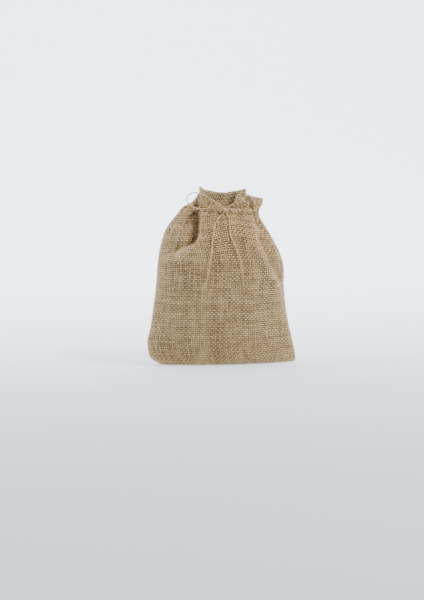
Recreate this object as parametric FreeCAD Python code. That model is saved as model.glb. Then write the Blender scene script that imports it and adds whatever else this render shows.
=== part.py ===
import FreeCAD, Part
import math
import os

# Drawstring gift pouch of open-weave hessian, filled, standing and tied in a bow.
# Millimetres. X to the right, -Y to the front, +Z up. The pouch stands on Z = 0 and
# its origin is under the middle of its bounding box, measured without the free twine.

# Cloth
CLOTH = 1.2  # thickness of the hessian
SEAM_TURN_IN = 8.0  # width of cloth turned in at the side and bottom seams
SEAM_LINE = 4.0  # distance of the stitching from the seam
HEM_FOOT = 143.0  # lower edge of the hem that makes the casing for the twine
SEAM_TOP = HEM_FOOT + 4.0  # the turned-in cloth runs up under the hem to here
TRIM_Z = 175.0  # the cloth is made up to here, then cut to its top edge
HEM_WALL = 5.0  # doubled and bunched cloth round the neck
GATHERS = 11  # folds round the neck

# Twine and thread
TWINE = 1.2
TWINE_ROOM = 0.25  # clearance all round the twine in its casing
NECK_Z = 149.5  # height of the drawn twine
TWINE_DEPTH = 2.6  # how far the twine runs under the outside of the hem
THREAD = 0.6
STITCH = 2.8
STITCH_PITCH = 4.2
FIRST_STITCH = 1.0  # from the start of its row
CASING_SEAMS_Z = (144.5, 155.5)
CASING_SEAM_END = 9.0  # degrees left free at each end of a row, round the neck
SIDE_STITCHES = (14, 139)  # lowest and highest stitching of the side seams
CASING_STEPS = 54  # straight parts of a casing row
BOTTOM_STITCH_END = 4.0  # left free at each end of the bottom row

# Bow
KNOT = (0.3, -21.3, NECK_Z)
KNOT_RADIUS = 2.0

# Outline of the filled pouch: height, left edge, right edge, half depth, roundness of
# the cross-section (2 is an ellipse, less is a pointed lens), depth of the gathers as
# a share of the radius, and set-back of the front to the left of its deep fold.
OUTLINE = (
    (0.0, -60.0, 70.0, 14.5, 1.8, 0.0, 0.0),
    (6.0, -68.5, 72.0, 19.5, 1.75, 0.0, 0.0),
    (18.0, -72.0, 71.0, 23.5, 1.8, 0.0, 0.0),
    (40.0, -68.0, 65.8, 28.0, 1.9, 0.0, 0.0),
    (70.0, -64.0, 61.5, 32.0, 2.0, 0.0, 0.0),
    (98.0, -61.0, 59.8, 33.5, 2.1, 0.0, 0.0),
    (116.0, -58.5, 53.0, 31.0, 2.1, 0.02, 0.10),
    (132.0, -52.5, 43.5, 26.0, 2.0, 0.04, 0.20),
    (143.0, -44.5, 36.8, 21.0, 2.0, 0.035, 0.22),
    (149.5, -38.5, 36.5, 19.0, 2.0, 0.03, 0.20),
    (158.0, -29.5, 39.0, 18.5, 2.0, 0.05, 0.18),
    (176.0, -20.5, 40.5, 19.0, 2.0, 0.07, 0.10),
)
LOFT_HEIGHTS = (
    0, 3, 7, 12, 20, 32, 48, 66, 84, 98, 109, 119, 128, 136, 143, 149.5, 157, 166, 176,
)
FOLD_X = -23.5  # the deep fold in the front
FOLD_WIDTH = 6.0
GATHER_TURN = 0.7  # radians by which the folds round the neck are turned
FRONT_CALM = 0.7  # share by which the folds are flattened in the middle of the front
SECTION_POINTS = 96

# Blocks that cut the cloth reach past it to these half widths, half depths and height.
WIDE = 90.0
DEEP = 60.0
ABOVE = 200.0
ROOMS_LAP = 15.0  # the room in the neck starts this far under the hem's lower edge
PAST = 1.0  # plates that cut the cloth reach past it by this much
FIRST_GAP = 1.5  # least height between the lowest two sections of a form
ARC_SHARE = 0.45  # share of a straight run that the arc at its end may take up

# Top edge of the cloth, front and back: X and height.
FRONT_RIM = (
    (-60, 160), (-31, 160), (-24.8, 166.5), (-22.5, 170.7), (-21.4, 171.4), (-16.6, 168.3),
    (-8.4, 166.4), (-0.5, 165.6), (8.3, 166.6), (16.1, 168.4), (21.6, 169.6), (24.5, 163),
    (30, 160.6), (37, 159.4), (60, 159),
)
BACK_RIM = ((-60, 159), (-29, 159), (-14, 161), (4, 159.4), (20, 160), (33, 159.8), (60, 158.6))
SEAM_HEIGHTS = (20, 40, 60, 80, 98, 110, 120, 130, 140)  # where the seams' edge is taken

# Run of the twine in the casing, as X and Y: from the knot to the left hole, round the
# pouch between two angles, and from the right hole back to the knot.
LEFT_RUN = ((-1.4, -21.1), (-5.4, -20.4), (-10.6, -18.7))
RIGHT_RUN = ((8.8, -18.4), (5.8, -20.4), (2.0, -21.1))
ROUND_FROM = 240
ROUND_TO = -60
ROUND_STEP = 20

# Routes of the loose twine, each in the order in which it leaves the knot.
LEFT_LOOP = (
    (-0.8, -21.3, 152.1), (-3.7, -21.9, 154.4), (-8.4, -21.9, 157.1), (-14.2, -21.4, 160.7),
    (-20.3, -20.6, 164.3), (-26.8, -19.2, 166.6), (-33.2, -17.8, 165.3), (-36.4, -16.6, 160.6),
    (-34.2, -16.4, 155.4), (-28.4, -17.6, 151.7), (-21.4, -19.4, 150.4), (-15.4, -20.7, 151.3),
    (-11.0, -21.6, 153.2), (-7.4, -22.3, 154.5), (-4.6, -22.1, 153.1), (-2.0, -21.4, 151.1),
)
RIGHT_LOOP = (
    (1.3, -21.3, 152.1), (3.8, -22.0, 153.5), (7.0, -22.4, 154.4), (9.8, -22.7, 156.4),
    (10.9, -22.9, 159.6), (11.8, -22.8, 163.0), (14.2, -22.5, 165.5), (17.6, -21.9, 166.2),
    (22.4, -20.2, 164.6), (26.5, -17.6, 159.9), (29.8, -16.0, 155.8), (32.4, -14.2, 151.0),
    (30.6, -14.4, 148.2), (24.3, -17.0, 148.3), (16.0, -20.2, 149.3), (7.9, -22.2, 150.3),
    (2.6, -21.3, 151.2),
)
LEFT_TAIL = (
    (-0.9, -21.9, 147.0), (-3.4, -22.4, 144.9), (-6.7, -23.4, 141.6), (-10.1, -25.8, 136.4),
    (-12.2, -28.9, 128.6), (-13.3, -31.3, 120.2), (-14.1, -33.1, 111.7), (-15.7, -33.9, 103.7),
    (-16.7, -34.1, 95.8), (-18.1, -33.8, 88.1), (-20.3, -33.1, 81.2), (-22.6, -32.2, 75.7),
)
RIGHT_TAIL = (
    (1.5, -21.9, 147.0), (3.0, -22.9, 143.8), (4.3, -24.2, 139.2), (3.7, -26.9, 132.5),
    (4.1, -29.3, 125.6), (7.1, -31.2, 118.9), (10.6, -32.6, 111.9), (12.9, -33.7, 104.2),
    (14.2, -34.0, 95.7), (15.7, -33.6, 86.8), (16.7, -32.9, 78.5),
)


def smooth(value):
    """0 below 0, 1 above 1, and a smooth step between."""
    value = min(1.0, max(0.0, value))
    return value * value * (3 - 2 * value)


def slope(rows, index, column):
    """Rate of change of an outline column with height at one row."""
    low = rows[max(0, index - 1)]
    high = rows[min(len(rows) - 1, index + 1)]
    return (high[column] - low[column]) / (high[0] - low[0])


def outline_at(z):
    """The outline's values at height z, on a smooth curve through its rows."""
    index = max(i for i, row in enumerate(OUTLINE[:-1]) if row[0] <= max(z, 0.0))
    low, high = OUTLINE[index], OUTLINE[index + 1]
    span = high[0] - low[0]
    t = (z - low[0]) / span
    values = []
    for column in range(1, len(low)):
        start_slope = slope(OUTLINE, index, column) * span
        end_slope = slope(OUTLINE, index + 1, column) * span
        values.append(
            (2 * t**3 - 3 * t**2 + 1) * low[column]
            + (t**3 - 2 * t**2 + t) * start_slope
            + (3 * t**2 - 2 * t**3) * high[column]
            + (t**3 - t**2) * end_slope
        )
    return values


def section_point(angle, z, wall, gathered=True):
    """Point of the cross-section at height z, wall millimetres inside the outer face."""
    left, right, depth, roundness, gather, setback = outline_at(z)
    centre_x = (left + right) / 2
    half_width = (right - left) / 2 - wall
    cosine, sine = math.cos(angle), math.sin(angle)
    across = math.copysign(abs(cosine) ** (2 / roundness), cosine)
    outward = math.copysign(abs(sine) ** (2 / roundness), sine)
    ripple = 1.0
    if gathered:
        calm = 1 - FRONT_CALM * max(0.0, -sine) ** 3
        ripple += gather * math.cos(GATHERS * angle + GATHER_TURN) * calm
    x = centre_x + half_width * across * ripple
    y = (depth - wall) * outward * ripple
    if y < 0:
        y *= 1 - setback * smooth((FOLD_X - x) / FOLD_WIDTH + 0.5)
    return FreeCAD.Vector(x, y, z)


def section_wire(z, wall):
    """Closed smooth curve round the pouch at height z."""
    turn = 2 * math.pi
    points = [section_point(turn * i / SECTION_POINTS, z, wall) for i in range(SECTION_POINTS)]
    knots = [i / SECTION_POINTS for i in range(SECTION_POINTS + 1)]
    curve = Part.BSplineCurve()
    curve.interpolate(Points=points, PeriodicFlag=True, Parameters=knots)
    return Part.Wire(curve.toShape())


def pouch_form(wall, bottom):
    """Solid filling the pouch's outline, shrunk by wall and flat at the bottom."""
    heights = [bottom] + [z for z in LOFT_HEIGHTS if z > bottom + FIRST_GAP]
    return Part.makeLoft([section_wire(z, wall) for z in heights], True, False)


def slab(low, high):
    """Box between two corners."""
    size = [b - a for a, b in zip(low, high)]
    return Part.makeBox(*size, FreeCAD.Vector(*low))


def plate(outline, back, front):
    """Plate with an outline given as X, Z points, between two Y planes."""
    corners = [FreeCAD.Vector(x, back, z) for x, z in outline]
    face = Part.Face(Part.makePolygon(corners + corners[:1]))
    return face.extrude(FreeCAD.Vector(0, front - back, 0))


def block_across(low_y, high_y, low_z, high_z):
    """Block across the whole width between two depths and two heights."""
    return slab((-WIDE, low_y, low_z), (WIDE, high_y, high_z))


def seam_edge(z, side, inset):
    """X of a line that runs inside a side seam, inset from the inner face."""
    left, right = outline_at(z)[:2]
    return left + CLOTH + inset if side < 0 else right - CLOTH - inset


def turned_in_cloth(inner_form, back, front):
    """Seam allowance that stands inside the pouch along its sides and bottom."""
    heights = [CLOTH + SEAM_TURN_IN, *SEAM_HEIGHTS, SEAM_TOP + PAST]
    right_side = [(seam_edge(z, 1, SEAM_TURN_IN), z) for z in heights]
    left_side = [(seam_edge(z, -1, SEAM_TURN_IN), z) for z in reversed(heights)]
    inner_room = plate(right_side + left_side, back - PAST, front + PAST)
    strip = inner_form.common(block_across(back, front, 0, SEAM_TOP))
    return strip.cut(inner_room)


def cord_path(points):
    """Straight runs between the points, joined by arcs as large as the runs allow."""
    corners = [FreeCAD.Vector(*p) for p in points]
    edges, radii, start = [], [], corners[0]
    for before, corner, after in zip(corners, corners[1:], corners[2:]):
        arriving, leaving = corner - before, after - corner
        half_turn = arriving.getAngle(leaving) / 2
        reach = ARC_SHARE * min(arriving.Length, leaving.Length)
        radius = reach / math.tan(half_turn)
        entry = corner - arriving.normalize() * reach
        end = corner + leaving.normalize() * reach
        inward = ((entry + end) * 0.5 - corner).normalize()
        middle = corner + inward * (radius / math.cos(half_turn) - radius)
        edges.append(Part.LineSegment(start, entry).toShape())
        edges.append(Part.Arc(entry, middle, end).toShape())
        radii.append(radius)
        start = end
    edges.append(Part.LineSegment(start, corners[-1]).toShape())
    return Part.Wire(edges), radii


def cord(points, diameter):
    """Round tube along a route."""
    path, _ = cord_path(points)
    along = FreeCAD.Vector(*points[1]) - FreeCAD.Vector(*points[0])
    ring = Part.Circle(FreeCAD.Vector(*points[0]), along, diameter / 2).toShape()
    return path.makePipeShell([Part.Wire(ring)], True, False)


def neck_route():
    """Route of the twine: out of the knot, into the casing, round it and back out."""
    route = [(x, y, NECK_Z) for x, y in LEFT_RUN]
    for degrees in range(ROUND_FROM, ROUND_TO - 1, -ROUND_STEP):
        point = section_point(math.radians(degrees), NECK_Z, TWINE_DEPTH, gathered=False)
        route.append((point.x, point.y, point.z))
    return route + [(x, y, NECK_Z) for x, y in RIGHT_RUN]


def stitch(start, end):
    """One visible stitch, a short round bar."""
    along = end - start
    return Part.makeCylinder(THREAD / 2, along.Length, start, along)


def stitches_along(line):
    """Stitches at an even pitch along a line of points."""
    bars, travelled, due = [], 0.0, FIRST_STITCH
    for start, end in zip(line, line[1:]):
        run = (end - start).Length
        while due < travelled + run:
            direction = (end - start).normalize()
            first = start + direction * (due - travelled)
            bars.append(stitch(first, first + direction * STITCH))
            due += STITCH_PITCH
        travelled += run
    return bars


def side_seam_stitches(side):
    """Stitching on both faces of a turned-in side seam."""
    bars = []
    for face_y in (-CLOTH, CLOTH):
        heights = [SIDE_STITCHES[0], *SEAM_HEIGHTS[:-1], SIDE_STITCHES[1]]
        line = [FreeCAD.Vector(seam_edge(z, side, SEAM_LINE), face_y, z) for z in heights]
        bars += stitches_along(line)
    return Part.makeCompound(bars)


def bottom_seam_stitches():
    """Stitching on both faces of the turned-in bottom seam."""
    z = CLOTH + SEAM_LINE
    left, right = outline_at(z)[:2]
    bars = []
    for face_y in (-CLOTH, CLOTH):
        inset = SEAM_TURN_IN + BOTTOM_STITCH_END
        ends = (left + inset, right - inset)
        bars += stitches_along([FreeCAD.Vector(x, face_y, z) for x in ends])
    return Part.makeCompound(bars)


def casing_stitches(side):
    """Two rows of stitching that hold the hem, on the front (-1) or the back (+1)."""
    bars = []
    for z in CASING_SEAMS_Z:
        span = 180 - 2 * CASING_SEAM_END
        angles = [CASING_SEAM_END + span * i / CASING_STEPS for i in range(CASING_STEPS + 1)]
        line = [section_point(side * math.radians(angle), z, 0.0) for angle in angles]
        bars += stitches_along(line)
    return Part.makeCompound(bars)


def panels():
    """Front and back of the pouch, each with its hem and its turned-in seams."""
    outer = pouch_form(0.0, 0.0).common(block_across(-DEEP, DEEP, -CLOTH, TRIM_Z))
    inner = pouch_form(CLOTH, CLOTH)
    body_room = inner.common(block_across(-DEEP, DEEP, 0, HEM_FOOT))
    neck_room = pouch_form(HEM_WALL, CLOTH).common(
        block_across(-DEEP, DEEP, HEM_FOOT - ROOMS_LAP, ABOVE)
    )
    shell = outer.cut(body_room.fuse(neck_room))
    shell = shell.cut(cord(neck_route(), TWINE + 2 * TWINE_ROOM))
    halves = []
    for near, far, rim in ((-DEEP, 0, FRONT_RIM), (0, DEEP, BACK_RIM)):
        half = shell.common(block_across(near, far, -CLOTH, ABOVE))
        above_rim = list(rim) + [(rim[-1][0], ABOVE), (rim[0][0], ABOVE)]
        half = half.cut(plate(above_rim, near - PAST, far + PAST))
        turned = (-CLOTH, 0) if near < 0 else (0, CLOTH)
        halves.append(half.fuse(turned_in_cloth(inner, *turned)).removeSplitter())
    return halves


def build():
    """All nodes of the pouch by name."""
    front_panel, back_panel = panels()
    return {
        "front_panel": front_panel,
        "back_panel": back_panel,
        "left_seam_thread": side_seam_stitches(-1),
        "right_seam_thread": side_seam_stitches(1),
        "bottom_seam_thread": bottom_seam_stitches(),
        "front_casing_thread": casing_stitches(-1),
        "back_casing_thread": casing_stitches(1),
        "neck_cord": cord(neck_route(), TWINE),
        "bow_knot": Part.makeSphere(KNOT_RADIUS, FreeCAD.Vector(*KNOT)),
        "left_loop": cord(LEFT_LOOP, TWINE),
        "right_loop": cord(RIGHT_LOOP, TWINE),
        "left_tail": cord(LEFT_TAIL, TWINE),
        "right_tail": cord(RIGHT_TAIL, TWINE),
    }


def report_cord(name, points, solid):
    """Print a cord's length, its tightest arc, and its volume against the ideal."""
    path, radii = cord_path(points)
    ideal = math.pi * TWINE**2 / 4 * path.Length
    ratio = solid.Volume / ideal
    print(f"{name}: length {path.Length:.1f}, volume ratio {ratio:.4f},", end=" ")
    print("radii", " ".join(f"{r:.1f}" for r in radii))


def main():
    nodes = build()
    fixed = Part.makeCompound([nodes["front_panel"], nodes["back_panel"]])
    box = fixed.optimalBoundingBox(False)
    shift = FreeCAD.Vector(-box.Center.x, -box.Center.y, -box.ZMin)
    print("shift to the origin", [round(v, 3) for v in shift])
    os.makedirs("parts", exist_ok=True)
    for name, shape in nodes.items():
        solids = shape.Solids
        print(name, "valid", shape.isValid(), "solids", len(solids), "volume", round(shape.Volume, 1))
        shape.translate(shift)
        shape.exportStep(f"parts/{name}.step")
    routes = {
        "neck_cord": neck_route(), "left_loop": LEFT_LOOP, "right_loop": RIGHT_LOOP,
        "left_tail": LEFT_TAIL, "right_tail": RIGHT_TAIL,
    }
    for name, points in routes.items():
        report_cord(name, points, nodes[name])


main()
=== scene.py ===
import math

import bpy
import numpy as np
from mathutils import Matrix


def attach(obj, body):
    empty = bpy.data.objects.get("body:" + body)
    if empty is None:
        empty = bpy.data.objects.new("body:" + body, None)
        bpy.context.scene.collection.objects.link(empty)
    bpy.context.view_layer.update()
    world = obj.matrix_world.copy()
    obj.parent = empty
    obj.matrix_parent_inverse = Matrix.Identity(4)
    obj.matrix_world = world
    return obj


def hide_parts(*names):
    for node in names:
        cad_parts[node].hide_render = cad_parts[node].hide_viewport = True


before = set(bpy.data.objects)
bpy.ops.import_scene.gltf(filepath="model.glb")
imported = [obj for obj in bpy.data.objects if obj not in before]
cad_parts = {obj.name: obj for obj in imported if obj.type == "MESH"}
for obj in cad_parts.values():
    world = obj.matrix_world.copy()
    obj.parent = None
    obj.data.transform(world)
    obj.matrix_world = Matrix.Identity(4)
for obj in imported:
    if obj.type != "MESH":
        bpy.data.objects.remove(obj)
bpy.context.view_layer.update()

# Drawstring gift pouch in open-weave hessian. Lengths are in millimetres and are turned
# into metres when a mesh is made. X is to the right, -Y to the front and Z up.
MM = 0.001

# Weave
PITCH = 2.0  # spacing of the yarns
WARP_WIDTH = 1.22
WEFT_WIDTH = 1.24
YARN_THICKNESS = 0.95
WARP_CRIMP = 0.34  # how far a yarn goes to each side of the cloth's middle
WEFT_CRIMP = 0.42
YARN_SIDES = 6
SAMPLE = 1.0  # distance between the rings of a yarn
YARN_LAY = 8.0  # length in which a yarn's fibres wind round it once
GRAIN_RATE = 0.15  # how fast the fibre pattern changes along a yarn
GRAIN_APART = 11.0  # keeps the fibre patterns of different yarns apart
WARP_TONE_AND_HIGHLIGHT = (0.42, 0.06)  # usual tone of the yarns, and how much paler their tops are painted, a painted highlight where they cross over
WEFT_TONE_AND_HIGHLIGHT = (0.54, 0.30)
TONE_CHANGE = (0.07, 0.12)  # from yarn to yarn, and along a yarn
TONE_REACH = 6  # rings over which the tone changes
WIDTH_CHANGE = 0.10
WIDTH_REACH = 9
WIDTH_RANGE = (0.68, 1.4)  # thinnest and thickest places, of the usual width
SPACING_CHANGE = 0.08
SPACING_REACH = 22
CLOTH_WIDTH = 150.0  # flat width of one panel between its side seams
HALF_CLOTH = 0.6  # middle of the cloth under its outer face
TURNED_WARPS = 3  # warp yarns in the cloth turned in at each side seam
TURNED_WEFT = 6.5  # how far the weft runs past each side seam

# Loose fibres
STRAY_FIBRES = 1300  # on each panel
FIBRE_RADIUS = 0.045
FIBRE_POINTS = 6
FIBRE_LENGTH = (1.2, 4.2)
FIBRE_ROOT = 0.5  # height of the root over the cloth's middle
FIBRE_LOWEST = 0.2
FIBRE_LIFT = (0.25, 1.0)  # how steeply the fibres stand off, as a share of their length
FIBRE_SPREAD = 0.8
FIBRE_BEND = 0.35
FIBRE_DROOP = 0.5
FIBRE_TONE = 0.8
FIBRE_TIP = (1.15, 0.8)  # radius at the root, and how much of it is lost up to the tip
# Painted shade in the weave's gaps: a dark sheet behind them, with its grid step and depth
GAP_SHADE_STEP = 1.0
GAP_SHADE_DEPTH = 0.25  # the dark sheet of painted shade in the gaps lies this far inside the cloth's middle

# Heights along the cloth, measured from the bottom seam
CORD_V = 169.8
RIM_V = 190.5
HEM_TURN = 27.0
CORD_Z = 149.5
LOWEST = 0.95  # the cloth's middle stays this high over the floor

# Hem: room between its layers, more of it round the twine, and its turn over the top edge
HEM_ROOM = 1.5
TWINE_ROOM = 2.0
TWINE_ROOM_REACH = 5.0
TURN_LENGTH = 2.0
CROWN = 0.5
CROWN_REACH = 1.2

# Stitching of the casing
CASING_ROWS = (164.6, 176.9)  # distances up the cloth
CASING_END = 7.5  # left free at each end of a row
THREAD = 0.5
THREAD_SIDES = 6
THREAD_STEP = 0.35
THREAD_LAY = 2.0
THREAD_TONE = 0.5
STITCH_PITCH = 4.2
STITCH_SHAPE = (1.6, 0.6)  # how suddenly the thread goes down, and how long it stays up
THREAD_ABOVE = 0.85  # height of the thread over the cloth's middle on its outer side
THREAD_BELOW = -2.6  # and on its inner side, behind the hem's second layer

# Outline of the filled pouch: distance up the cloth, height, left and right edges, half
# depth, and roundness of the cross-section, where 2 is an ellipse.
PROFILE = np.array([
    (0.0, 0.9, -57.0, 71.0, 0.8, 1.8),
    (9.0, 0.7, -59.0, 73.0, 9.0, 1.8),
    (15.0, 1.2, -61.5, 74.0, 15.0, 1.8),
    (22.5, 6.0, -68.5, 73.8, 19.5, 1.75),
    (35.0, 18.0, -72.0, 71.3, 23.5, 1.8),
    (57.5, 40.0, -68.0, 66.2, 28.0, 1.9),
    (87.8, 70.0, -64.0, 62.2, 32.0, 2.0),
    (115.9, 98.0, -61.0, 60.3, 33.5, 2.1),
    (134.1, 116.0, -58.5, 53.2, 31.0, 2.1),
    (150.9, 132.0, -52.5, 43.8, 26.0, 2.0),
    (163.0, 143.0, -44.0, 37.5, 21.5, 2.0),
    (169.8, 149.5, -38.0, 37.0, 19.0, 2.0),
    (178.3, 158.0, -28.9, 40.0, 18.5, 2.0),
    (190.5, 170.0, -22.3, 40.5, 21.5, 2.0),
])

# Folds: the height and X of the fold's edge, the share of the spare cloth that one layer
# of the fold takes, the side on which its upper layer lies (+1 right, -1 left), the
# distance between its layers, and how far the lower layer stays sunk beyond the edge.
FRONT_FOLDS = (
    (((104.8, -58.6), (109.3, -50.3), (113.9, -40.2), (119.4, -28.9), (128.7, -24.9),
      (138.7, -23.9), (149.6, -23.3), (168.0, -22.4)), 0.20, 1, 2.6, 12.0),
    (((72.8, 52.9), (84.1, 46.3), (100.3, 38.4), (117.6, 31.6), (134.5, 28.3), (151.7, 24.2),
      (167.3, 21.8)), 0.17, -1, 2.4, 10.0),
    (((100, -55), (130, -44), (150, -33), (171, -24.5)), 0.07, 1, 1.0, 6.0),
    (((100, 54), (130, 39), (150, 33), (171, 32)), 0.06, -1, 1.2, 6.0),
)
BACK_FOLDS = (
    (((100, -48), (130, -36), (150, -27), (171, -14)), 0.11, 1, 2.0, 9.0),
    (((100, -27), (130, -20), (150, -13), (171, -3)), 0.09, 1, 1.8, 8.0),
    (((100, -3), (130, -1), (150, 1), (171, 9)), 0.12, -1, 2.0, 9.0),
    (((100, 22), (130, 17), (150, 14), (171, 20)), 0.08, -1, 1.8, 8.0),
    (((100, 45), (130, 32), (150, 26), (171, 31)), 0.10, -1, 2.0, 9.0),
)
MAIN_SHARE = 0.1  # folds with more than this share reach through the top edge
LEAST_LAYER = 0.05  # a fold with less cloth in it is left out
FULL_LAYER = 5.0  # a fold with less cloth in it is sunk less

# Creases in the front as X and height, walked from the bottom up.
LEFT_CREASE = (
    (-60.0, 101.0), (-50.3, 107.3), (-40.2, 112.4), (-30.5, 118.0), (-26.0, 124.0), (-24.6, 131.0),
    (-23.9, 139.0), (-23.4, 150.0), (-22.6, 168.0),
)
RIGHT_CREASE = (
    (57.0, 63.0), (52.9, 72.8), (46.3, 84.1), (38.4, 100.3), (31.6, 117.6), (28.3, 134.5),
    (24.6, 151.7), (22.4, 166.0),
)
HEADER_RIDGE = ((25.0, 165.0), (30.5, 156.0))
TOP_CREASE = ((4.5, 152.5), (7.7, 156.1), (9.7, 159.5), (10.7, 163.3), (11.0, 168.0))

# How far the cloth stands out, or lies in, along the creases
FLAP_RISE = 1.4
FOOT_RISE = 1.8  # added at the low end of the left crease
SHOULDER_DEPTH = 7.0
RIDGE_RISE = 2.2
HOLLOW_DEPTH = 5.2
HEADER_RISE = 2.0
HEADER_DEPTH = 2.1
HEADER_RIDGE_RISE = 1.5

# Full places and dents in the front: X and height of the middle, their reach in both
# directions, and how far they stand out or in.
SWELLS = (
    (-44.0, 134.0, 9.0, 15.0, 2.4),
    (-45.0, 92.0, 14.0, 13.0, 1.6),
    (49.0, 115.0, 6.0, 16.0, 2.0),
    (26.0, 153.5, 4.0, 3.6, -1.6),
    (20.5, 159.0, 2.5, 5.0, -1.3),
)

# Rows of the front's weave arch over its middle: where and how far, the drop of the whole
# row, and the heights at which this begins and ends, with the length of each change
ARCH_X = 6.0
ARCH_REACH = 19.0
ARCH_RISE = 5.5
ARCH_DROP = 0.35
ARCH_BEGINS = (96.0, 30.0)
ARCH_ENDS = (136.0, 13.0)

# Even part of the front under the tails: middle and reach across and up the cloth
UNDER_TAILS = ((78.0, 24.0), (118.0, 42.0))
UNDER_TAILS_LOWERED = (0.85, 0.3)  # share of the unevenness taken off, and depth

# Uneven surface: shortest and longest wave of each sine, and how far they swing
BODY_WAVES = ((26, 40), (30, 48), (40, 62), (50, 80))
DRAPE_WAVES = ((9, 13), (12, 17), (15, 22))
WAVE_HEIGHT = 0.7
DRAPE_STRETCH = 0.15  # drapes run up the cloth, so they change slowly that way

# Top edge: X and height of the front flap, and of the cloth to each side and behind.
FRONT_RIM = (
    (-25, 168.5), (-23.2, 170.6), (-20.8, 171.2), (-16.6, 168.4), (-8.4, 166.3), (-0.5, 165.4),
    (8.3, 166.5), (16.1, 168.4), (21.6, 169.8), (24, 169.8),
)
LEFT_RIM = ((-40, 158), (-24, 165.5), (-18, 165.5))
RIGHT_RIM = ((15, 163.5), (26.2, 162.0), (31.6, 160.0), (37, 159.6), (41, 158.8))
BACK_RIM = ((-29, 164), (-14, 161.5), (4, 159.4), (20, 160), (33, 159.8), (41, 158.6))


def soft_step(value):
    """0 below 0, 1 above 1, smooth between."""
    value = np.clip(value, 0.0, 1.0)
    return value * value * (3 - 2 * value)


def fade(value, start, length):
    """0 up to start, and 1 from a length beyond it."""
    return soft_step((value - start) / length)


def bell(distance, reach):
    """1 at no distance, falling away to nothing over about twice the reach."""
    return np.exp(-((distance / reach) ** 2))


def soft_clamp(value, rounding=0.16):
    """Follows value between 0 and 1 at an even rate, with rounded ends."""
    below = np.sqrt(value**2 + rounding**2)
    above = np.sqrt((value - 1) ** 2 + rounding**2)
    return (below - above + 1) / 2


def through(points, value):
    """Straight interpolation through a few given points."""
    xs, ys = zip(*points)
    return np.interp(value, xs, ys)


def profile_at(v):
    """Height, edges, depth and roundness at distance v up the cloth, on smooth curves."""
    xs = PROFILE[:, 0]
    index = int(np.clip(np.searchsorted(xs, v, side="right") - 1, 0, len(xs) - 2))
    slopes = np.gradient(PROFILE[:, 1:], xs, axis=0)
    span = xs[index + 1] - xs[index]
    t = (v - xs[index]) / span
    low, high = PROFILE[index, 1:], PROFILE[index + 1, 1:]
    return (
        (2 * t**3 - 3 * t**2 + 1) * low
        + (t**3 - 2 * t**2 + t) * slopes[index] * span
        + (3 * t**2 - 2 * t**3) * high
        + (t**3 - t**2) * slopes[index + 1] * span
    )


def section(left, right, depth, roundness, side):
    """Half of the cross-section from the left seam to the right one, with its lengths."""
    angle = np.linspace(math.pi, 0.0, 361)
    half_width = (right - left) / 2 - HALF_CLOTH
    across = np.sign(np.cos(angle)) * np.abs(np.cos(angle)) ** (2 / roundness)
    outward = np.abs(np.sin(angle)) ** (2 / roundness)
    x = (left + right) / 2 + half_width * across
    y = side * max(depth - HALF_CLOTH, 0.3) * outward
    length = np.concatenate([[0.0], np.cumsum(np.hypot(np.diff(x), np.diff(y)))])
    along_x, along_y = np.gradient(x, length), np.gradient(y, length)
    size = np.hypot(along_x, along_y)
    return x, y, length, -side * along_y / size, side * along_x / size


def sine_waves(m, v, seed, spans, amplitude):
    """Gentle uneven surface made of a few sine waves of random direction."""
    rng = np.random.default_rng(seed)
    total = np.zeros_like(m)
    for low, high in spans:
        heading = rng.uniform(0, math.pi)
        length = rng.uniform(low, high)
        phase = rng.uniform(0, 2 * math.pi)
        travel = m * math.cos(heading) + v * math.sin(heading)
        total += np.sin(2 * math.pi * travel / length + phase)
    return amplitude * total / math.sqrt(len(spans))


def beside(path, x, z):
    """Distance of points from a path, positive to its right, and distance along it."""
    nearest = np.full(x.shape, 1e9)
    off, along = np.zeros_like(x), np.zeros_like(x)
    travelled = 0.0
    for (x0, z0), (x1, z1) in zip(path, path[1:]):
        run_x, run_z = x1 - x0, z1 - z0
        length = math.hypot(run_x, run_z)
        t = ((x - x0) * run_x + (z - z0) * run_z) / length**2
        t = np.clip(t, 0.0, 1.0)
        gap_x, gap_z = x - x0 - t * run_x, z - z0 - t * run_z
        gap = np.hypot(gap_x, gap_z)
        hand = np.sign((gap_x * run_z - gap_z * run_x) / length)
        closer = gap < nearest
        nearest = np.where(closer, gap, nearest)
        off = np.where(closer, gap * hand, off)
        along = np.where(closer, travelled + t * length, along)
        travelled += length
    return off, along


def left_crease(x, z):
    """The flap and the body stand up, and the shoulder beside them is sunk."""
    off, along = beside(LEFT_CREASE, x, z)
    strength = fade(along, -2.0, 20.0) * fade(x, -60.0, 16.0)
    low = 1 - fade(along, 10.0, 28.0)
    over = soft_step(off / (2.4 + 8.0 * low) + 0.5)
    risen = over * (FLAP_RISE + FOOT_RISE * low) * bell(off - 6.0 * low, 9.0)
    sunk = (1 - over) * SHOULDER_DEPTH * np.exp(-((np.abs(off) / 13.0) ** 1.7))
    return strength * (risen - sunk)


def right_crease(x, z):
    """A lit ridge, with a hollow beyond it."""
    off, along = beside(RIGHT_CREASE, x, z)
    ends = fade(along, 0.0, 25.0) * (1 - fade(along, 88.0, 30.0))
    return ends * (RIDGE_RISE * bell(off + 1.5, 4.5) - HOLLOW_DEPTH * bell(off - 7.5, 6.5))


def top_crease(x, z):
    """The header's right part stands in front of its middle."""
    off, along = beside(TOP_CREASE, x, z)
    over = soft_step(off / 1.4 + 0.5)
    step = HEADER_RISE * over * bell(off, 8.0) - HEADER_DEPTH * (1 - over) * bell(off, 5.0)
    return fade(along, 0.0, 5.0) * step


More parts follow.
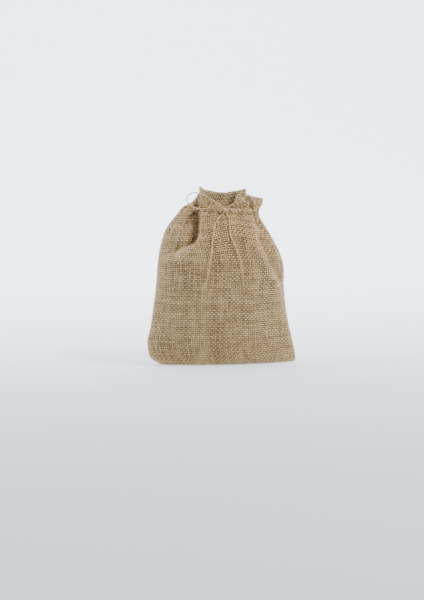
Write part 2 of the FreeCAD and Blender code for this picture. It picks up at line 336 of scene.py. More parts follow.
class Panel:
    """One panel of cloth as a fine grid of points over its flat width and length."""

    STEP = 0.5
    MARGIN = 8.0

    def __init__(self, side):
        self.side = side  # -1 front, +1 back
        self.ms = np.arange(-self.MARGIN, CLOTH_WIDTH + self.MARGIN + 0.01, self.STEP)
        self.vs = np.arange(0.0, RIM_V + 0.01, self.STEP)
        rows = np.array([self.row(v) for v in self.vs])
        points, out = rows[..., :3], rows[..., 3:]
        for _ in range(3):
            points = self.relax(points)
        change = self.waves()
        if side < 0:
            change += self.creases(points)
        points = points + out * change[..., None]
        points[..., 2] = np.maximum(points[..., 2], LOWEST)
        self.points = self.relax(points)
        self.normals = self.outward(self.points)

    def folds_at(self, z, xs, length, spare):
        """The folds met at one height from left to right: edge, layer length and traits."""
        met = []
        for path, share, direction, gap, reach in FRONT_FOLDS if self.side < 0 else BACK_FOLDS:
            edge = np.interp(through(path, z), xs, length)
            layer = share * spare
            met.append((edge + direction * layer / 2, layer, share, direction, gap, reach))
        return sorted(met)

    def row(self, v):
        """Points of the cloth at distance v from the bottom seam."""
        z, left, right, depth, roundness = profile_at(v)
        xs, ys, length, normal_x, normal_y = section(left, right, depth, roundness, self.side)
        spare = max(0.0, CLOTH_WIDTH - length[-1])
        m = np.clip(self.ms, 0.0, CLOTH_WIDTH) * (length[-1] + spare) / CLOTH_WIDTH
        along, sunk = m.copy(), np.zeros_like(m)
        right_layer = np.zeros_like(m)
        left_layer = np.zeros_like(m)
        hidden = 0.0
        for centre, layer, share, direction, gap, reach in self.folds_at(z, xs, length, spare):
            if layer < LEAST_LAYER:
                continue
            middle = centre + hidden + layer
            step = soft_clamp((m - middle) / layer + 0.5)
            along -= 2 * layer * step
            hidden += 2 * layer
            under = 1 - step if direction > 0 else step
            beyond = np.maximum(0.0, -direction * (m - middle) - layer / 2)
            sunk -= 2 * gap * under * bell(beyond, reach) * min(1.0, layer / FULL_LAYER)
            if share > MAIN_SHARE and direction < 0:
                right_layer = step
            if share > MAIN_SHARE and direction > 0:
                left_layer = 1 - step
        out_x, out_y = np.interp(along, length, normal_x), np.interp(along, length, normal_y)
        x = np.interp(along, length, xs) + sunk * out_x
        y = np.interp(along, length, ys) + sunk * out_y
        height = self.heights(v, z, x, left_layer, right_layer)
        # Beyond each side seam the cloth is turned in and lies against the other panel's.
        turned = np.abs(self.ms - np.clip(self.ms, 0.0, CLOTH_WIDTH))
        inward = np.where(self.ms < 0, 1.0, -1.0)
        x = x + inward * turned
        y = y + self.side * 0.7 * fade(turned, 0.0, 1.5)
        return np.stack([x, y, height, out_x, out_y, np.zeros_like(x)], axis=-1)

    def heights(self, v, z, x, left_layer, right_layer):
        """Height of one row: arched in the middle of the front, and shared out up to the rim."""
        if v > CORD_V:
            share_up = (v - CORD_V) / (RIM_V - CORD_V)
            return CORD_Z + share_up * (self.rim(x, left_layer, right_layer) - CORD_Z)
        if self.side > 0:
            return np.full_like(x, z)
        where = fade(z, *ARCH_BEGINS) * (1 - fade(z, *ARCH_ENDS))
        return z + ARCH_RISE * (bell(x - ARCH_X, ARCH_REACH) - ARCH_DROP) * where

    def rim(self, x, left_layer, right_layer):
        """Height of the top edge; the front's outer layers end higher or lower than its flap."""
        if self.side > 0:
            return through(BACK_RIM, x)
        rim = through(FRONT_RIM, x)
        rim = rim + left_layer * (through(LEFT_RIM, x) - rim)
        return rim + right_layer * (through(RIGHT_RIM, x) - rim)

    def creases(self, points):
        """How far the front stands out at its creases and at the full cloth between them."""
        x, z = points[..., 0], points[..., 2]
        change = left_crease(x, z) + right_crease(x, z) + top_crease(x, z)
        off, _ = beside(HEADER_RIDGE, x, z)
        change += HEADER_RIDGE_RISE * bell(off, 1.9)
        for middle_x, middle_z, reach_x, reach_z, rise in SWELLS:
            change += rise * bell(x - middle_x, reach_x) * bell(z - middle_z, reach_z)
        # Only the outer cloth has creases, not what lies close to the middle of the pouch.
        return change * fade(points[..., 1] * self.side, 4.0, 8.0)

    @staticmethod
    def relax(points):
        """Evens out sharp turns of the cloth."""
        out = points.copy()
        out[:, 1:-1] = (points[:, :-2] + 2 * points[:, 1:-1] + points[:, 2:]) / 4
        inner = out.copy()
        out[1:-1] = (inner[:-2] + 2 * inner[1:-1] + inner[2:]) / 4
        return out

    def outward(self, points):
        """Unit normals on the outer side."""
        along = np.gradient(points, axis=1)
        up = np.gradient(points, axis=0)
        normal = np.cross(along, up) * (-self.side)
        return normal / np.maximum(np.linalg.norm(normal, axis=2, keepdims=True), 1e-9)

    def waves(self):
        """Soft unevenness of the filled body and drapes running down from the neck."""
        v, m = np.meshgrid(self.vs, self.ms, indexing="ij")
        seed = 11 if self.side < 0 else 12
        body = sine_waves(m, v, seed, BODY_WAVES, WAVE_HEIGHT)
        drapes = sine_waves(m, v * DRAPE_STRETCH, seed + 20, DRAPE_WAVES, WAVE_HEIGHT)
        body *= fade(v, 0.0, 30.0) * (1 - fade(v, 150.0, 30.0))
        drapes *= fade(v, 95.0, 45.0)
        ends = fade(self.ms, -2.0, 12.0) * (1 - fade(self.ms, CLOTH_WIDTH - 10.0, 12.0))
        change = (body + drapes) * ends
        if self.side < 0:  # the tails lie close on an even part of the front
            (middle_m, reach_m), (middle_v, reach_v) = UNDER_TAILS
            share, depth = UNDER_TAILS_LOWERED
            where = np.exp(-(((m - middle_m) / reach_m) ** 4) - ((v - middle_v) / reach_v) ** 4)
            change -= where * (np.maximum(change, 0.0) * share + depth)
        return change

    def look_up(self, grid, m, v):
        """Value of a grid at m, v, straight between its nodes."""
        i = np.clip((v - self.vs[0]) / self.STEP, 0, len(self.vs) - 1.001)
        j = np.clip((m - self.ms[0]) / self.STEP, 0, len(self.ms) - 1.001)
        i0, j0 = i.astype(int), j.astype(int)
        di, dj = (i - i0)[:, None], (j - j0)[:, None]
        low = grid[i0, j0] * (1 - dj) + grid[i0, j0 + 1] * dj
        high = grid[i0 + 1, j0] * (1 - dj) + grid[i0 + 1, j0 + 1] * dj
        return low * (1 - di) + high * di

    def place(self, m, v):
        """Points and outward normals on the cloth, which turns in over its top edge."""
        over = np.maximum(0.0, v - RIM_V)
        folded = RIM_V - np.abs(v - RIM_V)
        point = self.look_up(self.points, m, folded)
        normal = self.look_up(self.normals, m, folded)
        room = HEM_ROOM + TWINE_ROOM * bell(folded - CORD_V, TWINE_ROOM_REACH)
        turn = soft_step(over / TURN_LENGTH)
        point = point - normal * (turn * room)[:, None]
        point[:, 2] += CROWN * bell(v - RIM_V, CROWN_REACH)
        normal = normal * np.where(over > TURN_LENGTH / 2, -1.0, 1.0)[:, None]
        return point, normal


def mesh_object(name, vertices, faces):
    """Smooth-shaded mesh object from millimetre points."""
    mesh = bpy.data.meshes.new(name)
    mesh.from_pydata((np.asarray(vertices) * MM).tolist(), [], faces)
    mesh.polygons.foreach_set("use_smooth", [True] * len(mesh.polygons))
    mesh.update()
    thing = bpy.data.objects.new(name, mesh)
    bpy.context.scene.collection.objects.link(thing)
    return thing


class Tubes:
    """Collects closed tubes with elliptical sections into one mesh."""

    def __init__(self, sides):
        self.sides = sides
        self.vertices, self.faces, self.count = [], [], 0
        self.tones, self.grains = [], []

    def add(self, centres, across, normal, half_width, half_thickness, tone, lay):
        """One tube; lay is the length in which its fibres wind round it once."""
        rings = len(centres)
        angle = np.arange(self.sides) * 2 * math.pi / self.sides
        wide = across[:, None, :] * (np.cos(angle)[None, :, None] * half_width[:, None, None])
        high = normal[:, None, :] * (np.sin(angle)[None, :, None] * half_thickness[:, None, None])
        points = (centres[:, None, :] + wide + high).reshape(-1, 3)
        ring = np.arange(rings - 1)[:, None] * self.sides + self.count
        k = np.arange(self.sides)[None, :]
        after = (k + 1) % self.sides
        above = ring + self.sides
        quads = np.stack([ring + k, ring + after, above + after, above + k], axis=-1)
        self.faces += quads.reshape(-1, 4).tolist()
        last = self.count + (rings - 1) * self.sides
        self.faces.append([self.count + i for i in reversed(range(self.sides))])
        self.faces.append([last + i for i in range(self.sides)])
        self.vertices.append(points)
        self.tones.append(np.repeat(np.broadcast_to(tone, rings), self.sides))
        steps = np.linalg.norm(np.diff(centres, axis=0), axis=1)
        run = np.concatenate([[0.0], np.cumsum(steps)])[:, None]
        wound = angle[None, :] + 2 * math.pi * run / lay
        place = run * GRAIN_RATE + GRAIN_APART * len(self.tones)
        grain = np.stack([np.cos(wound), np.sin(wound), np.broadcast_to(place, wound.shape)], axis=-1)
        self.grains.append(grain.reshape(-1, 3))
        self.count += rings * self.sides

    def build(self, name):
        """All the tubes as one object."""
        thing = mesh_object(name, np.concatenate(self.vertices), self.faces)
        tone = thing.data.attributes.new("tone", "FLOAT", "POINT")
        tone.data.foreach_set("value", np.concatenate(self.tones).astype(np.float32))
        grain = thing.data.attributes.new("grain", "FLOAT_VECTOR", "POINT")
        grain.data.foreach_set("vector", np.concatenate(self.grains).astype(np.float32).ravel())
        return thing


def unit(vectors):
    """Each vector at length 1."""
    return vectors / np.maximum(np.linalg.norm(vectors, axis=1, keepdims=True), 1e-9)


def wander(rng, count, reach, size):
    """Slow random change along a yarn: count samples, about reach samples a wave."""
    knots = rng.normal(0.0, size, max(3, int(count / reach) + 3))
    return np.interp(np.linspace(0, len(knots) - 1, count), np.arange(len(knots)), knots)


def add_yarn(tubes, panel, rng, m, v, over, width, crimp, tones):
    """One yarn through the points m, v, above the cloth's middle where over is 1."""
    centres, normal = panel.place(m, v)
    along = unit(np.gradient(centres, axis=0))
    across = unit(np.cross(normal, along))
    normal = unit(np.cross(along, across))
    centres = centres + normal * (over * crimp)[:, None]
    count = len(m)
    slub = 1 + wander(rng, count, WIDTH_REACH, WIDTH_CHANGE) + rng.normal(0, WIDTH_CHANGE / 2)
    slub = np.clip(slub, *WIDTH_RANGE)
    usual, painted_highlight = tones
    from_yarn, along_yarn = TONE_CHANGE
    # The yarn's own tone, with a painted highlight added on its tops where it crosses over
    tone = rng.normal(usual, from_yarn) + wander(rng, count, TONE_REACH, along_yarn) + painted_highlight * over
    tubes.add(
        centres, across, normal, width / 2 * slub, YARN_THICKNESS / 2 * np.sqrt(slub),
        np.clip(tone, 0, 1), YARN_LAY,
    )


def painted_gap_shade_sheet(panel, name):
    """Painted shade that closes the gaps of the weave, as one dark sheet just inside its middle."""
    ms = np.arange(-Panel.MARGIN, CLOTH_WIDTH + Panel.MARGIN + 0.01, GAP_SHADE_STEP)
    vs = np.arange(0.0, RIM_V + HEM_TURN, GAP_SHADE_STEP)
    points = []
    for v in vs:
        centres, normal = panel.place(ms, np.full_like(ms, v))
        points.append(centres - normal * GAP_SHADE_DEPTH)
    wide = len(ms)
    first = (np.arange(len(vs) - 1)[:, None] * wide + np.arange(wide - 1)[None, :]).reshape(-1)
    faces = np.stack([first, first + 1, first + wide + 1, first + wide], axis=-1)
    return mesh_object(name + "_web", np.concatenate(points), faces.tolist())


def stray_fibres(panel, name, count):
    """Fine fibres that stand off the yarns."""
    rng = np.random.default_rng(51 if panel.side < 0 else 52)
    tubes = Tubes(3)
    for _ in range(count):
        m = np.array([rng.uniform(0, CLOTH_WIDTH)])
        v = np.array([rng.uniform(2, RIM_V + 2)])
        root, normal = panel.place(m, v)
        sideways = rng.normal(size=3)
        sideways *= FIBRE_SPREAD / np.linalg.norm(sideways)
        heading = normal[0] * rng.uniform(*FIBRE_LIFT) + sideways
        bend = rng.normal(size=3) * FIBRE_BEND - normal[0] * FIBRE_DROOP
        t = np.linspace(0, 1, FIBRE_POINTS)[:, None]
        length = rng.uniform(*FIBRE_LENGTH)
        line = root + normal * FIBRE_ROOT + (heading * t + bend * t**2) * length
        line[:, 2] = np.maximum(line[:, 2], FIBRE_LOWEST)
        along = unit(np.gradient(line, axis=0))
        across = unit(np.cross(along, rng.normal(size=3)))
        radius = FIBRE_RADIUS * (FIBRE_TIP[0] - FIBRE_TIP[1] * t[:, 0])
        tubes.add(line, across, np.cross(along, across), radius, radius, FIBRE_TONE, YARN_LAY)
    return tubes.build(name + "_fibres")


def spacing_drift(rng, count):
    """How far one yarn strays from its even place, along its length."""
    return wander(rng, count, SPACING_REACH, SPACING_CHANGE) + rng.normal(0, SPACING_CHANGE / 2)


def weave(panel, name):
    """The warp and the weft of one panel, each as one mesh of interlaced yarns."""
    side = panel.side
    rng = np.random.default_rng(31 if side < 0 else 32)
    warp, weft = Tubes(YARN_SIDES), Tubes(YARN_SIDES)
    top = RIM_V + HEM_TURN
    turned_in = TURNED_WARPS * PITCH
    lengthwise = np.arange(0.0, top, SAMPLE)
    for i, m in enumerate(np.arange(PITCH / 2 - turned_in, CLOTH_WIDTH + turned_in, PITCH)):
        drift = spacing_drift(rng, len(lengthwise))
        over = np.cos(math.pi * (lengthwise / PITCH - 0.5 + i))
        add_yarn(warp, panel, rng, m + drift, lengthwise, over, WARP_WIDTH, WARP_CRIMP, WARP_TONE_AND_HIGHLIGHT)
    crosswise = np.arange(-TURNED_WEFT, CLOTH_WIDTH + TURNED_WEFT + 0.01, SAMPLE)
    for j, v in enumerate(np.arange(PITCH / 2, top - 1, PITCH)):
        drift = spacing_drift(rng, len(crosswise))
        over = -np.cos(math.pi * ((crosswise + turned_in) / PITCH - 0.5 + j))
        add_yarn(weft, panel, rng, crosswise, v + drift, over, WEFT_WIDTH, WEFT_CRIMP, WEFT_TONE_AND_HIGHLIGHT)
    return warp.build(name + "_warp"), weft.build(name + "_weft")


def casing_stitching(panel, name):
    """Two rows of running stitches that hold the hem, up and down through both layers."""
    tubes = Tubes(THREAD_SIDES)
    steepness, up_share = STITCH_SHAPE
    for v in CASING_ROWS:
        m = np.arange(CASING_END, CLOTH_WIDTH - CASING_END, THREAD_STEP)
        centres, normal = panel.place(m, np.full_like(m, v))
        swing = steepness * np.cos(2 * math.pi * m / STITCH_PITCH) + up_share
        swing = np.clip(swing, -1.0, 1.0)
        height = np.where(swing > 0, THREAD_ABOVE * swing, THREAD_BELOW * -swing)
        line = centres + normal * height[:, None]
        side, up = carried_frame(line)
        radius = np.full(len(m), THREAD / 2)
        tubes.add(line, side, up, radius, radius, THREAD_TONE, THREAD_LAY)
    return tubes.build(name + "_stitching")


# Routes of the loose twine, in metres, each from the knot outwards.
LEFT_LOOP = (
    (-0.0008, -0.0213, 0.1521), (-0.0037, -0.0219, 0.1544), (-0.0084, -0.0219, 0.1571),
    (-0.0142, -0.0214, 0.1607), (-0.0203, -0.0206, 0.1643), (-0.0268, -0.0192, 0.1666),
    (-0.0332, -0.0178, 0.1653), (-0.0364, -0.0166, 0.1606), (-0.0342, -0.0164, 0.1554),
    (-0.0284, -0.0176, 0.1517), (-0.0214, -0.0194, 0.1504), (-0.0154, -0.0207, 0.1513),
    (-0.0110, -0.0216, 0.1532), (-0.0074, -0.0223, 0.1545), (-0.0046, -0.0221, 0.1531),
    (-0.0020, -0.0214, 0.1511),
)
RIGHT_LOOP = (
    (0.0013, -0.0213, 0.1521), (0.0038, -0.0220, 0.1535), (0.0070, -0.0224, 0.1544),
    (0.0098, -0.0227, 0.1564), (0.0109, -0.0229, 0.1596), (0.0118, -0.0228, 0.1630),
    (0.0142, -0.0225, 0.1655), (0.0176, -0.0219, 0.1662), (0.0224, -0.0202, 0.1646),
    (0.0265, -0.0176, 0.1599), (0.0298, -0.0160, 0.1558), (0.0324, -0.0142, 0.1510),
    (0.0306, -0.0144, 0.1482), (0.0243, -0.0170, 0.1483), (0.0160, -0.0202, 0.1493),
    (0.0079, -0.0222, 0.1503), (0.0026, -0.0213, 0.1512),
)
LEFT_TAIL = (
    (-0.0009, -0.0219, 0.1470), (-0.0034, -0.0224, 0.1449), (-0.0067, -0.0234, 0.1416),
    (-0.0101, -0.0258, 0.1364), (-0.0122, -0.0289, 0.1286), (-0.0133, -0.0313, 0.1202),
    (-0.0141, -0.0331, 0.1117), (-0.0157, -0.0339, 0.1037), (-0.0167, -0.0341, 0.0958),
    (-0.0181, -0.0338, 0.0881), (-0.0203, -0.0331, 0.0812), (-0.0226, -0.0322, 0.0757),
)
RIGHT_TAIL = (
    (0.0015, -0.0219, 0.1470), (0.0030, -0.0229, 0.1438), (0.0043, -0.0242, 0.1392),
    (0.0037, -0.0269, 0.1325), (0.0041, -0.0293, 0.1256), (0.0071, -0.0312, 0.1189),
    (0.0106, -0.0326, 0.1119), (0.0129, -0.0337, 0.1042), (0.0142, -0.0340, 0.0957),
    (0.0157, -0.0336, 0.0868), (0.0167, -0.0329, 0.0785),
)
NECK_CORD = (
    (-0.0014, -0.0211, 0.1495), (-0.0054, -0.0204, 0.1495), (-0.0106, -0.0187, 0.1495),
    (-0.01845, -0.0142, 0.1495), (-0.0277, -0.01054, 0.1495), (-0.0338, -0.00561, 0.1495),
    (-0.0359, 0.0, 0.1495), (-0.0338, 0.00561, 0.1495), (-0.0277, 0.01054, 0.1495),
    (-0.01845, 0.0142, 0.1495), (-0.00706, 0.01615, 0.1495), (0.00506, 0.01615, 0.1495),
    (0.01645, 0.0142, 0.1495), (0.02573, 0.01054, 0.1495), (0.0318, 0.00561, 0.1495),
    (0.0339, 0.0, 0.1495), (0.0318, -0.00561, 0.1495), (0.02573, -0.01054, 0.1495),
    (0.01645, -0.0142, 0.1495), (0.0088, -0.0184, 0.1495), (0.0058, -0.0204, 0.1495),
    (0.0020, -0.0211, 0.1495),
)
KNOT = (0.0003, -0.0213, 0.1495)
KNOT_AXIS = (1.0, -0.1, -0.85)
KNOT_TURNS = 3.2
KNOT_COIL = (1.45, 1.2, 3.6)  # half width, half depth and length of the turns, in millimetres
KNOT_STRANDS = (0.45, 3.5, 0.25)  # to each side, half length, and how far the ends bow forward
DRAWN_TIGHT = (0.95, 0.90)  # thickness of the turns' twine and of the strands', of the usual
INSIDE_KNOT = 0.0009  # how far a strand runs on into the knot

# Twine: its diameter in metres, and then shares or multiples of it
TWINE = 0.0012
TWINE_SIDES = 8
PLY_OFFSET = 0.21  # from the twine's middle to a ply's
PLY_RADIUS = 0.30
PLY_LAY = 3.9
PLY_FIBRE_LAY = 4
PLY_TONE = 0.6

# Uneven twine: reach of the changes in points, and their size
TWINE_STEP = 0.35  # millimetres between the points
TURN_CHANGE = (40, 0.3)
PLY_WIDTH_CHANGE = (18, 0.09)
PLY_TONE_CHANGE = (20, 0.08)

# Frayed end of a tail: how far the plies part there, and how thin they get
FRAY_LENGTH = 3.0
FRAY_SPREAD = (1.3, 1.5)
FRAY_TIP = (0.35, 0.6)


def spline_points(route):
    """Points along the smooth NURBS line that has the route's points as its controls."""
    curve = bpy.data.curves.new("route", "CURVE")
    curve.dimensions = "3D"
    spline = curve.splines.new("NURBS")
    spline.points.add(len(route) - 1)
    for point, place in zip(spline.points, route):
        point.co = (*place, 1.0)
    spline.order_u = 3
    spline.use_endpoint_u = True
    spline.resolution_u = 12
    holder = bpy.data.objects.new("route", curve)
    mesh = bpy.data.meshes.new_from_object(holder)
    points = np.array([vertex.co[:] for vertex in mesh.vertices])
    bpy.data.meshes.remove(mesh)
    bpy.data.objects.remove(holder)
    bpy.data.curves.remove(curve)
    return points


def into_knot(points, both_ends):
    """The line run on a little towards the knot's middle."""
    centre = np.array(KNOT)
    start = points[0] + unit((centre - points[0])[None])[0] * INSIDE_KNOT
    parts = [start[None], points]
    if both_ends:
        parts.append((points[-1] + unit((centre - points[-1])[None])[0] * INSIDE_KNOT)[None])
    return np.concatenate(parts)


def resampled(points, step):
    """The same line with points an even step apart."""
    length = np.concatenate([[0.0], np.cumsum(np.linalg.norm(np.diff(points, axis=0), axis=1))])
    marks = np.linspace(0, length[-1], max(4, int(length[-1] / step)))
    return np.stack([np.interp(marks, length, points[:, k]) for k in range(3)], axis=-1)


def carried_frame(points):
    """Two unit vectors across the line at each point, carried along it without twist."""
    along = unit(np.gradient(points, axis=0))
    first = np.cross(along[0], (0.0, 0.3, 1.0))
    sides = [first / np.linalg.norm(first)]
    for direction in along[1:]:
        side = sides[-1] - direction * np.dot(sides[-1], direction)
        sides.append(side / np.linalg.norm(side))
    sides = np.array(sides)
    return sides, np.cross(along, sides)


def wound_plies(tubes, line, seed, diameter, fray=False):
    """Two plies wound round each other along a line of points in millimetres."""
    rng = np.random.default_rng(seed)
    side, up = carried_frame(line)
    count = len(line)
    steps = np.linalg.norm(np.diff(line, axis=0), axis=1)
    travel = np.concatenate([[0.0], np.cumsum(steps)])
    left = travel[-1] - travel
    whole = np.clip(left / FRAY_LENGTH, 0, 1)
    parted, parted_power = FRAY_SPREAD
    spread = 1 + (parted * (1 - whole) ** parted_power if fray else 0.0)
    thin, thin_power = FRAY_TIP
    for ply in range(2):
        turn = 2 * math.pi * travel / (diameter * PLY_LAY) + math.pi * ply
        turn = turn + wander(rng, count, *TURN_CHANGE)
        out = side * np.cos(turn)[:, None] + up * np.sin(turn)[:, None]
        centres = line + out * (diameter * PLY_OFFSET * spread * np.ones(count))[:, None]
        along = unit(np.gradient(centres, axis=0))
        across = unit(np.cross(out, along))
        radius = diameter * PLY_RADIUS * (1 + wander(rng, count, *PLY_WIDTH_CHANGE))
        if fray:
            radius = radius * (thin + (1 - thin) * whole**thin_power)
        tone = np.clip(PLY_TONE + wander(rng, count, *PLY_TONE_CHANGE), 0, 1)
        lay = diameter * PLY_FIBRE_LAY
        tubes.add(centres, across, np.cross(along, across), radius, radius, tone, lay)


def twisted_twine(name, line, seed, fray=False):
    """Twine along a line of points in millimetres."""
    tubes = Tubes(TWINE_SIDES)
    wound_plies(tubes, resampled(line, TWINE_STEP), seed, TWINE / MM, fray)
    return tubes.build(name)


def tied_knot(name):
    """Two strands drawn through tight turns of the twine that slant across the front."""
    tubes = Tubes(TWINE_SIDES)
    half_width, half_depth, coil_length = KNOT_COIL
    apart, reach, bow = KNOT_STRANDS
    turns_twine, strand_twine = DRAWN_TIGHT
    middle = np.array(KNOT) / MM
    axis = unit(np.array([KNOT_AXIS]))[0]
    side = unit(np.cross(axis, (0.0, 1.0, 0.0))[None])[0]
    front = np.cross(axis, side)
    t = np.linspace(0, 1, 90)[:, None]
    turn = 2 * math.pi * KNOT_TURNS * t
    coil = side * np.cos(turn) * half_width + front * np.sin(turn) * half_depth
    coil = coil + axis * (t - 0.5) * coil_length
    wound_plies(tubes, middle + coil, 8, TWINE / MM * turns_twine)
    for shift in (-apart, apart):
        t = np.linspace(-1, 1, 24)[:, None]
        strand = axis * t * reach + side * shift + front * (bow * t**2)
        wound_plies(tubes, middle + strand, 9, TWINE / MM * strand_twine)
    return tubes.build(name)


# Materials

NOISE_SPAN = (0.3, 0.7)  # nearly all of a noise's values lie in it
PATCH_SHARE = 0.35  # share of the patches in a yarn's tone
FIBRE_SHARE = 0.75
TONE_SPAN = (0.72, 1.6)  # tones of the darkest and the lightest colour
YARN_ROUGHNESS = (0.68, 0.95)
# Darkest and lightest colour of the painted shade in the weave's gaps
GAP_SHADE_DARK = (0.030, 0.014, 0.004)
GAP_SHADE_LIGHT = (0.095, 0.050, 0.017)


def new_material(name):
    """A material with its node tree and its shader."""
    material = bpy.data.materials.new(name)
    material.use_nodes = True
    tree = material.node_tree
    shader = tree.nodes["Principled BSDF"]
    return material, tree, shader


def scaled_noise(tree, source, scale, detail, roughness=0.6):
    """Noise at the place that source gives."""
    noise = tree.nodes.new("ShaderNodeTexNoise")
    noise.inputs["Scale"].default_value = scale
    noise.inputs["Detail"].default_value = detail
    noise.inputs["Roughness"].default_value = roughness
    tree.links.new(source, noise.inputs["Vector"])
    return noise.outputs["Fac"]


def add_scaled(tree, value, factor, other):
    """value times factor plus other, where other is a socket or a number."""
    add = tree.nodes.new("ShaderNodeMath")
    add.operation = "MULTIPLY_ADD"
    add.inputs[1].default_value = factor
    tree.links.new(value, add.inputs[0])
    if isinstance(other, float):
        add.inputs[2].default_value = other
    else:
        tree.links.new(other, add.inputs[2])
    return add.outputs[0]


def mapped(tree, value, span, result=(0.0, 1.0)):
    """The value, stretched and clipped from its span to the result's."""
    change = tree.nodes.new("ShaderNodeMapRange")
    change.inputs["From Min"].default_value, change.inputs["From Max"].default_value = span
    change.inputs["To Min"].default_value, change.inputs["To Max"].default_value = result
    tree.links.new(value, change.inputs["Value"])
    return change.outputs["Result"]


def named_value(tree, name, output):
    """What the mesh stores under a name at each of its points."""
    attribute = tree.nodes.new("ShaderNodeAttribute")
    attribute.attribute_name = name
    return attribute.outputs[output]


def colour_between(tree, shader, dark, light, share):
    """Base colour that goes from dark to light with share."""
    mix = tree.nodes.new("ShaderNodeMix")
    mix.data_type = "RGBA"
    mix.inputs["A"].default_value = (*dark, 1)
    mix.inputs["B"].default_value = (*light, 1)
    tree.links.new(share, mix.inputs["Factor"])
    tree.links.new(mix.outputs["Result"], shader.inputs["Base Color"])


def raise_surface(tree, shader, height, strength, distance):
    """Fine relief, with its depth in metres."""
    bump = tree.nodes.new("ShaderNodeBump")
    bump.inputs["Strength"].default_value = strength
    bump.inputs["Distance"].default_value = distance
    tree.links.new(height, bump.inputs["Height"])
    tree.links.new(bump.outputs["Normal"], shader.inputs["Normal"])


def jute(name, dark, light, wound=True):
    """Jute yarn with patches of colour. Wound yarn has a tone and a grain of its own."""
    material, tree, shader = new_material(name)
    place = tree.nodes.new("ShaderNodeTexCoord").outputs["Object"]
    patches = scaled_noise(tree, place, scale=70.0, detail=3.0)
    if wound:
        grain = named_value(tree, "grain", "Vector")
        fibres = scaled_noise(tree, grain, scale=3.2, detail=4.0, roughness=0.75)
        tone = add_scaled(tree, patches, PATCH_SHARE, named_value(tree, "tone", "Fac"))
    else:
        fibres = scaled_noise(tree, place, scale=2500.0, detail=3.0, roughness=0.7)
        tone = add_scaled(tree, patches, PATCH_SHARE, THREAD_TONE)
    tone = add_scaled(tree, mapped(tree, fibres, NOISE_SPAN), FIBRE_SHARE, tone)
    colour_between(tree, shader, dark, light, mapped(tree, tone, TONE_SPAN))
    rough = mapped(tree, fibres, NOISE_SPAN, YARN_ROUGHNESS)
    tree.links.new(rough, shader.inputs["Roughness"])
    raise_surface(tree, shader, fibres, strength=1.0, distance=0.00025)
    shader.inputs["Sheen Weight"].default_value = 0.25
    shader.inputs["Sheen Roughness"].default_value = 0.5
    return material


def gap_shade_material():
    """Painted shade in the gaps between the yarns, as a dark rough sheet."""
    material, tree, shader = new_material("gap_shade")
    place = tree.nodes.new("ShaderNodeTexCoord").outputs["Object"]
    shade_noise = scaled_noise(tree, place, scale=1500.0, detail=3.0, roughness=0.7)
    colour_between(tree, shader, GAP_SHADE_DARK, GAP_SHADE_LIGHT, mapped(tree, shade_noise, (0.35, 0.65)))
    rough = mapped(tree, shade_noise, NOISE_SPAN, (0.85, 1.0))
    tree.links.new(rough, shader.inputs["Roughness"])
    shader.inputs["Specular IOR Level"].default_value = 0.1
    raise_surface(tree, shader, shade_noise, strength=0.6, distance=0.0002)
    return material


# Camera, light and stage

LENS = 85.0
SENSOR = 36.0
IMAGE_HEIGHT = 600
SCALE_MM = 0.966  # millimetres of the object to one image pixel
AZIMUTH = math.radians(-9.0)
ELEVATION = math.radians(7.0)
LOOK_AT = (-0.0088, 0.0, 0.0615)

# Stage, in metres: flat floor behind the object and to each side, and the wall it bends into
FLOOR_BEHIND = 0.9
FLOOR_BESIDE = 3.2
FLOOR_FRONT = 12.0
WALL_HEIGHT = 4.0
WALL_BEND = 0.8
BEND_STEPS = 12
PAPER = (0.47, 0.515, 0.545, 1)
# Painted glow on the backdrop: emitted light that grows towards the back
GLOW_COLOUR = (0.92, 0.98, 1.05, 1)
GLOW_SPAN = (-0.5, 0.9)  # Y where the glow begins and where it is full
GLOW = (0.0, 2.75)
AROUND_COLOUR = (0.90, 0.95, 1.0, 1)
AROUND_STRENGTH = 0.38
OBJECT_MIDDLE = (0, 0, 0.08)

# Name, place, target, size, watts and colour
LIGHTS = (
    ("key", (0.90, -0.60, 1.40), OBJECT_MIDDLE, 0.35, 44.0, (1.0, 0.97, 0.93)),
    ("side", (-1.3, 0.15, 0.6), OBJECT_MIDDLE, 0.8, 17.0, (1.0, 1.0, 1.0)),
    ("backdrop_light", (0.0, 0.6, 1.8), (0, 1.6, 0.4), 1.5, 30.0, (1.0, 1.0, 1.0)),
)


def add_camera():
    """The photo's view of the object."""
    data = bpy.data.cameras.new("camera")
    data.lens = LENS
    data.sensor_width = SENSOR
    distance = IMAGE_HEIGHT * SCALE_MM * MM * LENS / SENSOR
    data.clip_start = 0.05
    data.clip_end = 50.0
    camera = bpy.data.objects.new("camera", data)
    flat = math.cos(ELEVATION)
    camera.location = (
        LOOK_AT[0] + distance * math.sin(AZIMUTH) * flat,
        LOOK_AT[1] - distance * math.cos(AZIMUTH) * flat,
        LOOK_AT[2] + distance * math.sin(ELEVATION),
    )
    camera.rotation_euler = (math.pi / 2 - ELEVATION, 0.0, AZIMUTH)
    bpy.context.scene.collection.objects.link(camera)
    bpy.context.scene.camera = camera


def add_light(name, place, target, size, power, colour):
    """A round lamp that points at its target."""
    data = bpy.data.lights.new(name, "AREA")
    data.shape = "DISK"
    data.size = size
    data.energy = power
    data.color = colour
    light = bpy.data.objects.new(name, data)
    light.location = place
    aim = np.array(target) - np.array(place)
    light.rotation_euler = (
        math.atan2(math.hypot(aim[0], aim[1]), -aim[2]),
        0.0,
        math.atan2(aim[1], aim[0]) - math.pi / 2,
    )
    bpy.context.scene.collection.objects.link(light)


